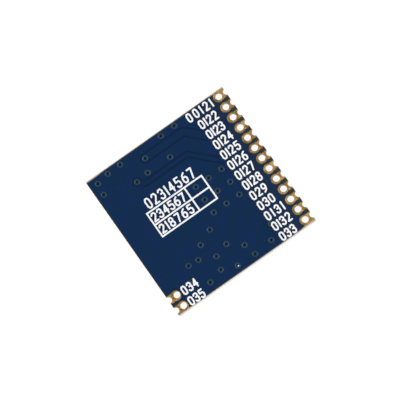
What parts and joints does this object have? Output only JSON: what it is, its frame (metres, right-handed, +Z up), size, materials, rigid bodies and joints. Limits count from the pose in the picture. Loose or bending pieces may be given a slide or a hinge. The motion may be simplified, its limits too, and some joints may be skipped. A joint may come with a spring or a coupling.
{
  "type": "castellated radio transceiver module",
  "caption": "Small square radio module: blue board with gold castellated contacts on two edges, bare side up, transceiver, crystal and chip components below.",
  "frame": {"origin": "middle of the board in plan, on the surface that the module rests on", "axes": "+X towards the edge with the long row of contacts, +Y towards the first contact's end of that row, +Z up, out of the bare side"},
  "size_m": [0.0168, 0.0166, 0.0021],
  "materials": {
    "laminate": "pale glass-epoxy laminate, sawn and drilled edges",
    "copper": "etched copper under the mask",
    "gold": "gold over nickel, satin",
    "mask": "dark blue solder mask, semi-gloss",
    "print": "white screen print",
    "moulding": "black moulding compound",
    "tin": "tinned leads",
    "solder": "bright solder",
    "capacitor": "tan fired ceramic",
    "inductor": "grey fired ceramic",
    "resistor": "black glazed coat",
    "crystal_ceramic": "dark fired ceramic",
    "crystal_metal": "plated lid, satin"
  },
  "bodies": {
    "root": {"laminate": "laminate", "bare_side_pour": "copper", "bare_side_tracks": "copper", "component_side_pour": "copper", "component_side_tracks": "copper", "bare_side_mask": "mask", "component_side_mask": "mask", "via_barrels": "copper", "contact_01": "gold", "contact_02": "gold", "contact_03": "gold", "contact_04": "gold", "contact_05": "gold", "contact_06": "gold", "contact_07": "gold", "contact_08": "gold", "contact_09": "gold", "contact_10": "gold", "contact_11": "gold", "contact_12": "gold", "contact_13": "gold", "contact_14": "gold", "contact_15": "gold", "printed_table": "print", "transceiver_body": "moulding", "transceiver_leads": "tin", "transceiver_die_pad": "tin", "crystal_base": "crystal_ceramic", "crystal_lid": "crystal_metal", "crystal_pads": "gold", "switch_body": "moulding", "switch_leads": "tin", "solder_joints": "solder", "chip_ends": "tin", "capacitor_01": "capacitor", "capacitor_02": "capacitor", "capacitor_03": "capacitor", "capacitor_04": "capacitor", "capacitor_05": "capacitor", "capacitor_06": "capacitor", "capacitor_07": "capacitor", "capacitor_08": "capacitor", "capacitor_09": "capacitor", "capacitor_10": "capacitor", "capacitor_11": "capacitor", "capacitor_12": "capacitor", "capacitor_13": "capacitor", "capacitor_14": "capacitor", "capacitor_15": "capacitor", "inductor_01": "inductor", "inductor_02": "inductor", "inductor_03": "inductor", "inductor_04": "inductor", "inductor_05": "inductor", "inductor_06": "inductor", "inductor_07": "inductor", "resistor_01": "resistor", "resistor_02": "resistor", "resistor_03": "resistor"}
  },
  "joints": []
}
